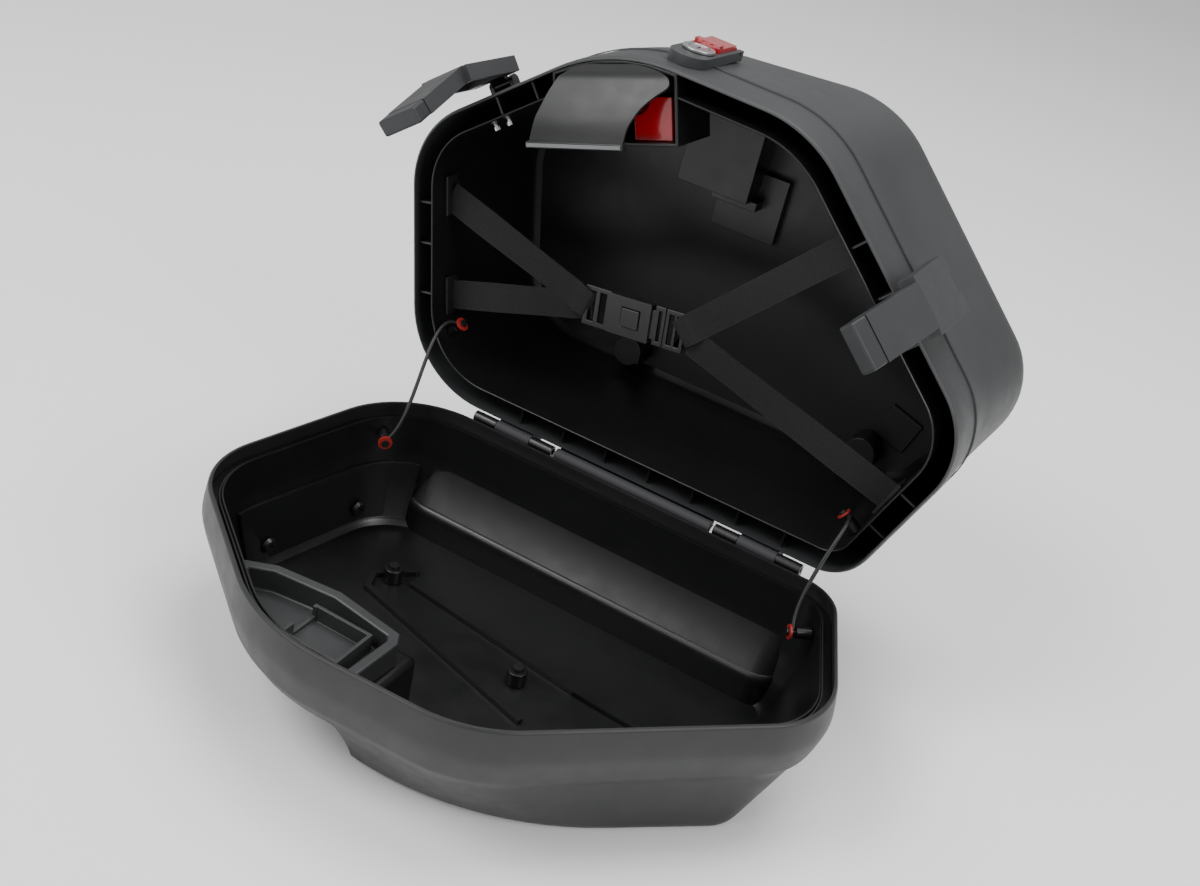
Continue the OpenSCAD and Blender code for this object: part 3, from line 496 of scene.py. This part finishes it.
def ramp_tool():
    """Wedge that the room is cut back to at the hinge: a flat face, a round edge, then a riser.

    Both ends fall back to the wall along a quarter of an ellipse: y -> y + 26 (1 - sqrt(1 - s^2)).
    """
    turns = np.linspace(0, math.pi / 2, 7)
    edge = [(-39.0 - 5 * math.sin(w), -83.0 - 7 * (1 - math.cos(w)) * 1.4) for w in turns]
    side = np.array([(-12, -46), (-18, -50), *edge, (-44, -140), (24, -140), (24, -46)], float)
    rings = []
    ends = (np.linspace(-184, -150, 9), np.linspace(-130, 160, 6), np.linspace(168, 192, 9))
    for x in np.concatenate(ends):
        s = max(-150 - x, 0) / 34 + max(x - 168, 0) / 24
        back = 26 * (1 - math.sqrt(max(1 - s * s, 0)))
        rings.append(np.column_stack([np.full(len(side), x), side + (back, 0)]))
    return loft("wedge", rings)


def cover_liner():
    """Liner of the outer half: a ledge at the rim, then the wall and floor of the room."""
    e = COVER_IN_E
    outer = profile(
        foot_part(e)
        + [
            ("rim", LEDGE_IN - COVER_IN_T, -TIER, 3),
            ("rim", LEDGE_IN - COVER_IN_T, -LEDGE_Z - LEDGE_T, 0),
            ("rim", 1.7, -LEDGE_Z - LEDGE_T, 0),
            ("rim", 1.7, -LEDGE_Z, 0),
            ("rim", LEDGE_IN - 2.2, -LEDGE_Z, 1.2),
            ("rim", LEDGE_IN - 1.4, -LEDGE_Z + 5, 0.6),
            ("rim", LEDGE_IN, -LEDGE_Z + 5, 0),
        ]
    )
    e = COVER_ROOM_E
    room = [
        ("foot", 5 + e, -COVER_DEPTH + e, 0),
        ("foot", e, -COVER_DEPTH + 5 + e, 6),
        ("foot", e - 3, -90, 12),
        ("rim", LEDGE_IN + 4, -64, 8),
        ("rim", LEDGE_IN, -TIER, 8),
        ("rim", LEDGE_IN, 6, 0),
    ]
    inner = cut(loft("room", profile(room, 5)), notch_tool(e), ramp_tool())
    outer = cut(loft("liner", outer), notch_tool(COVER_IN_E))
    bosses = [tube_tool(*at, COVER_FLOOR - 6, COVER_FLOOR + 4, BOSS_R) for at in BOSS_AT]
    o = cut(outer, inner, *bosses)
    finish(o, "liner_cover", cover_place(), "cover_half", ["cover_liner"], INNER, 30)


def seal():
    """Rubber seal on the ledge: a rounded bead."""
    centre, z0 = 9.3, -LEDGE_Z + SEAT
    bead = [(1.1, 0), (1.1, 1.8), (0.5, 2.8), (-0.5, 2.8), (-1.1, 1.8), (-1.1, 0)]
    o = rim_band("seal", [(centre - a, z0 + b) for a, b in bead])
    finish(o, "seal_bead", cover_place(), "cover_half", ["rim_seal"], RUBBER, 50)


# ---- Inner half ----
def base_holes(z):
    """Tools for the two rack sockets and the recess of the upper hook."""
    top = BASE_DEPTH + 12
    tools = [tube_tool(x, SOCKET_Y, z, top, SOCKET_R) for x in SOCKET_X]
    return tools + [block((*HOOK_LOW, z), (*HOOK_HIGH, top))]


def base_shell():
    """Skin of the inner half: room side down to the rim, then the flared skirt up to the rounded back."""
    e = BASE_T
    stations = [
        ("back", 13 + e, BASE_DEPTH - e, 0),
        ("back", e, BASE_DEPTH - 13 - e, 9),
        ("rim", e - FLARE, 70, 12),
        ("rim", e - FLARE, 12, 6),
        ("rim", e, 0.4, 0),
        ("rim", 1.2, 0.4, 0.4),
        ("rim", 0, 1.6, 1),
        ("rim", -FLARE, 12, 6),
        ("rim", -FLARE, 70, 16),
        ("back", 0, BASE_DEPTH - 13, 13),
        ("back", 13, BASE_DEPTH, 0),
    ]
    o = cut(loft("base", profile(stations, 5)), *base_holes(BASE_DEPTH - 20))
    finish(o, "shell_base", base_place(), "base_half", ["base_skin"], SHELL, 28)


def base_liner():
    """Liner of the inner half: a straight lip, then walls that spread to a floor with a soft crease."""
    o1, o2 = 6 + BASE_IN_E, 6 + BASE_ROOM_E
    stations = [
        ("back", o2 + 7, BASE_FLOOR, 0),
        ("back", o2, BASE_FLOOR - 7, 8),
        ("rim", LIP_IN + BASE_IN_T, LIP_DEEP, 9),
        ("rim", LIP_IN + BASE_IN_T, 1.6, 0.5),
        ("rim", LIP_IN + BASE_IN_T - 0.6, 1.0, 0),
        ("rim", LIP_IN + 0.6, 1.0, 0),
        ("rim", LIP_IN, 1.6, 0.5),
        ("rim", LIP_IN, LIP_DEEP, 9),
        ("back", o1, BASE_DEPTH - BASE_IN_E - 7, 8),
        ("back", o1 + 7, BASE_DEPTH - BASE_IN_E, 0),
    ]
    box = block((-52.3, -30, -5), (54.3, 66.3, 60.3), 0, grip_frame())
    o = cut(loft("room", profile(stations, 5)), box, *base_holes(BASE_FLOOR - 20))
    finish(o, "liner_base", base_place(), "base_half", ["base_liner"], INNER_BASE, 30)


def seam():
    """Thin band over the seam of the skirt, left out at the latches, the lock and the hinge."""
    e, z, h, t = -FLARE - SEAT, 46.0, 3.0, 1.0
    o = rim_band("seam", [(e, z), (e - t, z + 0.4), (e - t, z + h - 0.4), (e, z + h)])
    tools = [block((-27, -20, 0), (27, 40, 120), 0, edge_frame(*at)) for at in LATCH_AT]
    tools.append(block((-22, -20, 0), (22, 40, 120), 0, edge_frame(*LOCK_AT)))
    tools.append(block((-270, -8, 0), (270, 30, 120)))
    cut(o, *tools)
    finish(o, "seam_strip", base_place(), "base_half", ["seam_band"], BAND, 40)


def smooth_curve(points, count):
    """Catmull-Rom curve through points, count values."""
    p = np.asarray(points, float)
    p = np.vstack([2 * p[0] - p[1], p, 2 * p[-1] - p[-2]])
    t = np.linspace(0, len(p) - 3 - 1e-9, count)
    k = t.astype(int)
    f = (t - k)[:, None]
    a, b, c, d = p[k], p[k + 1], p[k + 2], p[k + 3]
    square, cube = 2 * a - 5 * b + 4 * c - d, 3 * b - a - 3 * c + d
    return 0.5 * (2 * b + (c - a) * f + square * f**2 + cube * f**3)


def thick_sheet(name, grid, normal, t, uv=None):
    """A closed sheet of thickness t over grid[i, j]; normal[i, j] points to its back."""
    rows, cols = grid.shape[:2]
    points = np.vstack([grid.reshape(-1, 3), (grid + normal * t).reshape(-1, 3)])
    back = rows * cols
    at = np.arange(back).reshape(rows, cols)
    front = np.stack([at[:-1, :-1], at[:-1, 1:], at[1:, 1:], at[1:, :-1]], -1).reshape(-1, 4)
    sides = np.stack([front, back + front[:, ::-1]], 1).reshape(-1, 4)
    edge = np.concatenate([at[0], at[1:, -1], at[-1, -2::-1], at[-2:0:-1, 0]])
    on = np.roll(edge, -1)
    hem = np.column_stack([on, edge, back + edge, back + on])
    o = new_object(name, points, np.vstack([sides, hem]).tolist())
    if uv is not None:
        flat = np.vstack([uv.reshape(-1, 2)] * 2)
        layer = o.data.uv_layers.new(name="UVMap")
        loops = np.zeros(len(o.data.loops), int)
        o.data.loops.foreach_get("vertex_index", loops)
        layer.data.foreach_set("uv", flat[loops].ravel())
    bm = bmesh.new()
    bm.from_mesh(o.data)
    bmesh.ops.recalc_face_normals(bm, faces=bm.faces)
    bm.to_mesh(o.data)
    bm.free()
    return o


def grip_flap():
    """Curved cover of the lock box: fall z(in) by a smooth curve, sides by the plan, a bar on its edge."""
    rows, cols = 40, 25
    fall = smooth_curve([(5.2, 0.1), (15, 0.1), (26, -6), (38, -13), (50, -18.5), (62, -21)], rows)
    side_in = [5.2, 8, 15, 26, 44, 62]
    left = np.interp(fall[:, 0], side_in, [-21, -34, -45, -51, -58, -62])
    right = np.interp(fall[:, 0], [5.2, 9, 15, 23, 27, 37, 50, 62], [21, 38, 48, 51, 42, 30, 22, 19])
    for _ in range(3):
        right[1:-1] = (right[:-2] + right[1:-1] + right[2:]) / 3
    s = np.linspace(0, 1, cols)
    u = left[:, None] * (1 - s) + right[:, None] * s
    rise = 1.6 * (1 - (2 * s - 1) ** 2)[None, :] * np.linspace(0, 1, rows)[:, None]
    z = fall[:, 1][:, None] - rise
    grid = np.dstack([u, np.broadcast_to(fall[:, 0][:, None], u.shape), z])
    slope = np.gradient(fall, axis=0)
    n = np.column_stack([np.zeros(rows), -slope[:, 1], slope[:, 0]])
    n /= np.linalg.norm(n, axis=1)[:, None]
    n *= np.sign(n[:, 2:3])
    o = thick_sheet("flap", grid, -np.repeat(n[:, None, :], cols, 1), 2.2)
    finish(o, "flap_sheet", base_place() @ grip_frame(), "base_half", ["grip_flap"], FLAP, 40)
    bar = block((-64, 61.2, -26), (20, 66.5, -18), 1.2)
    finish(bar, "flap_bar", base_place() @ grip_frame(), "base_half", [], FLAP, 40)
    line = block((-62.5, 62.6, -26.5), (18.5, 65.4, -25.8), 0.2)
    finish(line, "flap_line", base_place() @ grip_frame(), "base_half", [], BAR, 40)


# ---- Straps and cords ----
BUCKLE_AT = np.array([-31.0, -131.0])
BUCKLE_TURN = math.radians(-6.0)
LOOP_X = 46.0
WALL_IN = LIP_IN + BASE_IN_T


def buckle_point(x, y):
    """Point of the buckle's frame in the closed frame."""
    c, s = math.cos(BUCKLE_TURN), math.sin(BUCKLE_TURN)
    return BUCKLE_AT + np.array([x * c - y * s, x * s + y * c])


def strap(name, node, edge, share, side, y, layer):
    """A taut run of webbing from its anchor over the bar of the buckle and into the slot behind it."""
    a0, b0 = RIM[edge], RIM[(edge + 1) % len(RIM)]
    d0 = unit(b0 - a0)
    inward = np.array([-d0[1], d0[0]])
    a = a0 + (b0 - a0) * share + inward * (WALL_IN + SEAT + 1.0)
    b = buckle_point(side * LOOP_X, y)
    run = unit(b - a)
    length = float(np.linalg.norm(b - a))
    over = 24.2 if layer < 0 else 29.8
    flat = STRAP_Z + layer * 0.9
    line = [
        (0.0, flat + 5.0),
        (1.0, flat + 1.5),
        (5.0, flat),
        (length * 0.3, flat),
        (length * 0.6, flat),
        (length - 16, flat),
        (length - 6, over),
        (length + 3.0, over),
        (length + 6.5, STRAP_Z),
    ]
    path = smooth_curve(line, 90)
    steps = np.linalg.norm(np.diff(path, axis=0), axis=1)
    along = np.concatenate([[0], np.cumsum(steps)])
    total = float(along[-1])
    half = STRAP_W / 2 * np.linspace(-1, 1, 9)
    t = along / total
    cross = np.array([-run[1], run[0]])
    tilt = math.radians(5.0) * np.sin(2 * math.pi * t) * side
    tangent = np.gradient(path, axis=0)
    tangent /= np.linalg.norm(tangent, axis=1)[:, None]
    grid = np.zeros((len(path), len(half), 3))
    normal = np.zeros_like(grid)
    narrow = 1 - 0.1 * np.clip((t - 0.93) / 0.07, 0, 1)
    aside = np.outer(narrow * np.cos(tilt), half)
    grid[..., :2] = (a + path[:, :1] * run)[:, None] + aside[..., None] * cross
    grid[..., 2] = (path[:, 1] - STRAP_T / 2)[:, None] + np.outer(np.sin(tilt), half)
    normal[..., :2] = (-tangent[:, 1:] * run)[:, None]
    normal[..., 2] = tangent[:, :1]
    u = np.broadcast_to(np.linspace(0, 1, len(half)), grid.shape[:2])
    uv = np.dstack([u, np.repeat(along[:, None] * MM, len(half), 1)])
    o = thick_sheet(name, grid, normal, STRAP_T, uv)
    finish(o, name, base_place(), "base_half", [node], WEB, 50)


def turned(p):
    """A point of the open inner half in the outer half's closed frame."""
    c, s = math.cos(OPEN), math.sin(OPEN)
    return np.array([p[0], p[1] * c + p[2] * s, -p[1] * s + p[2] * c])


def limit_cord(name, node, cover_post, base_post, turn, flip):
    """Cord between two posts: a cubic Bezier a to b, its handles CORD_PULL long, as a round tube."""
    w = math.radians(turn)
    off = (CORD_R + SEAT) * np.array([math.cos(w), math.sin(w), 0])
    side = flip * np.array([-math.sin(w), math.cos(w), 0])
    da = unit(side + np.array([0, 0, 1.0]))
    db = unit(turned(-side) + 0.8 * turned((0, 0, -1.0)))
    a = np.array(cover_post) + off + da * (CORD_SCREW + 2 * SEAT)
    b = turned(np.array(base_post) + off) + db * (CORD_SCREW + 2 * SEAT)
    t = np.linspace(0, 1, 40)[:, None]
    from_a, to_b = a + da * CORD_PULL, b + db * CORD_PULL
    p = a * (1 - t) ** 3 + from_a * 3 * t * (1 - t) ** 2 + to_b * 3 * t * t * (1 - t) + b * t**3
    d = np.gradient(p, axis=0)
    d /= np.linalg.norm(d, axis=1)[:, None]
    e1 = np.cross(d, (1.0, 0, 0))
    e1 /= np.linalg.norm(e1, axis=1)[:, None]
    e2 = np.cross(d, e1)
    sides = 14
    q = 2 * math.pi * np.arange(sides) / sides
    rings = p[:, None] + CORD_R * (np.cos(q)[:, None] * e1[:, None] + np.sin(q)[:, None] * e2[:, None])
    o = loft(name, rings)
    finish(o, name, cover_place(), None, [], CORD, 60)
    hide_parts(node)
    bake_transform(o)


# ---- CAD pieces with their edges broken ----
def softened(node, material, width, segments, angle=35.0):
    """A copy of a CAD node with rounded edges, in its place."""
    source = NODES[node]
    bm = bmesh.new()
    bm.from_mesh(source.data)
    bmesh.ops.remove_doubles(bm, verts=bm.verts, dist=2e-6)
    bmesh.ops.dissolve_limit(bm, angle_limit=math.radians(0.6), verts=bm.verts, edges=bm.edges)
    points = [v.co[:] for v in bm.verts]
    faces = [[v.index for v in f.verts] for f in bm.faces]
    bm.free()
    o = new_object(node + "_edge", points, faces)
    o.data.polygons.foreach_set("use_smooth", np.ones(len(o.data.polygons), bool))
    step = o.modifiers.new("edge", "BEVEL")
    step.width, step.segments = width * MM, segments
    step.limit_method, step.angle_limit = "ANGLE", math.radians(angle)
    step.harden_normals = True
    applied(o)
    o.data.materials.clear()
    o.data.materials.append(material)
    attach(o, source["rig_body"])
    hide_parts(node)
    return o


def dress_cad():
    """Materials on the CAD nodes that stay, and softened copies of the ones with plain edges."""
    looks = {
        "cover_ribs": (INNER, 1.2), "cover_bosses": (INNER, 0.8), "end_panel": (INNER, 1.2),
        "grip_pocket": (POCKET, 2.0), "pocket_insert": (POCKET, 1.2), "hinge_tabs": (INNER, 0.8),
        "hinge_guard": (INNER, 0.6), "cover_cord_posts": (INNER, 0.5),
        "base_cord_posts": (INNER, 0.5), "lip_ribs": (INNER, 0.4),
        "lock_housing": (INNER_BASE, 0.8), "lock_plate": (SHELL, 1.2), "key_barrel": (LOCK, 0.5),
        "key_cover": (LOCK, 0.6), "release_lever": (RED, 1.2), "release_slider": (RED, 2.0),
        "rack_sockets": (INNER, 1.0), "rack_housing": (INNER, 3.4), "base_relief": (INNER, 1.0),
        "strap_anchors": (BUCKLE, 0.8), "buckle_socket": (BUCKLE, 0.7), "buckle_tongue": (BUCKLE, 0.6),
        "buckle_button": (BUCKLE, 0.7), "tri_glide": (BUCKLE, 0.7), "latch_brackets": (INNER, 0.6),
        "latch_l_link": (INNER, 0.6), "latch_r_link": (INNER, 0.6),
        "latch_l_lever": (LATCH, 2.4), "latch_r_lever": (LATCH, 2.4),
        "latch_l_cap": (CAP, 2.0), "latch_r_cap": (CAP, 2.0),
    }
    for node, (material, width) in looks.items():
        softened(node, material, width, 3 if width > 1 else 2)
    plain = {
        "boss_screws": DARK_STEEL, "panel_screws": DARK_STEEL, "hinge_pins": CREAM,
        "cover_cord_washers": WASHER, "base_cord_washers": WASHER, "cover_cord_screws": DARK_STEEL,
        "base_cord_screws": DARK_STEEL, "latch_nuts": CHROME, "release_pin": STEEL,
    }
    for node, material in plain.items():
        NODES[node].data.materials.clear()
        NODES[node].data.materials.append(material)


# ---- Camera, light and floor ----
def camera():
    """Pinhole camera: place and turn solved once, focal length in pixels of a 1200 wide frame."""
    az, el, distance = 0.34046451, 0.48909901, 1304.7507
    roll, px, py, focal, width = -0.25346139, -0.04862352, 0.04938816, 1471.44685, 1200.0
    d = np.array([math.sin(az) * math.cos(el), -math.cos(az) * math.cos(el), math.sin(el)])
    place = np.array([0, 120.0, 40.0]) + d * distance
    right = unit(np.cross(-d, (0, 0, 1)))
    up = np.cross(right, -d)
    base = np.array([right, up, d])

    def turn(axis, w):
        c, s = math.cos(w), math.sin(w)
        return np.array({
            "x": [[1, 0, 0], [0, c, -s], [0, s, c]],
            "y": [[c, 0, s], [0, 1, 0], [-s, 0, c]],
            "z": [[c, -s, 0], [s, c, 0], [0, 0, 1]],
        }[axis])

    rows = turn("z", roll) @ turn("x", py) @ turn("y", px) @ base
    data = bpy.data.cameras.new("camera")
    data.sensor_width = 36.0
    data.lens = data.sensor_width * focal / width
    data.clip_start, data.clip_end = 0.05, 50
    o = bpy.data.objects.new("camera", data)
    bpy.context.scene.collection.objects.link(o)
    place = (place + (0, HINGE_Y, COVER_DEPTH)) * MM
    o.matrix_world = Matrix.Translation(place) @ Matrix(rows.T.tolist()).to_4x4()
    bpy.context.scene.camera = o


def area_light(name, place, aim, size, power):
    """A round soft light at place, facing aim."""
    data = bpy.data.lights.new(name, "AREA")
    data.shape, data.size, data.energy = "DISK", size, power
    o = bpy.data.objects.new(name, data)
    bpy.context.scene.collection.objects.link(o)
    o.location = place
    o.rotation_euler = (Vector(aim) - Vector(place)).to_track_quat("-Z", "Y").to_euler()


def studio():
    """Pale floor, an even world and four soft lights; the low one shines back from the ramp."""
    world = bpy.data.worlds.new("studio")
    bpy.context.scene.world = world
    world.use_nodes = True
    world.node_tree.nodes["Background"].inputs["Color"].default_value = (1, 1, 1, 1)
    world.node_tree.nodes["Background"].inputs["Strength"].default_value = 0.5
    area_light("key", (-1.4, -1.2, 2.4), (0, 0.1, 0.2), 1.6, 54)
    area_light("side", (2.0, -0.4, 1.6), (0.1, 0.2, 0.3), 1.2, 24)
    area_light("top", (0.2, 0.8, 2.6), (0, 0.1, 0.2), 1.8, 46)
    area_light("low", (-0.9, -2.4, 1.35), (0, 0.1, 0.1), 0.7, 9)
    floor = new_object("floor", [(-6, -6, 0), (6, -6, 0), (6, 6, 0), (-6, 6, 0)], [(0, 1, 2, 3)])
    g = Graph("floor_pale")
    floor.data.materials.append(g.paint(Base_Color=(0.95, 0.95, 0.95, 1), Roughness=0.8))
    floor.location.z = -0.0002


camera()
limit_cord("cord_left", "limit_cord_l", (-191, -58, -24), (-186, -60, 22), -48, 1)
limit_cord("cord_right", "limit_cord_r", (194, -45, -24), (190, -48, 22), 215, -1)
cover_shell()
cover_liner()
seal()
base_shell()
base_liner()
seam()
grip_flap()
strap("webbing_ul", "strap_ul", 0, 0.74, -1, -2, -1)
strap("webbing_ll", "strap_ll", 0, 0.34, -1, 2, 1)
strap("webbing_ur", "strap_ur", 3, 0.34, 1, -2, -1)
strap("webbing_lr", "strap_lr", 4, 0.56, 1, 2, 1)
dress_cad()
studio()
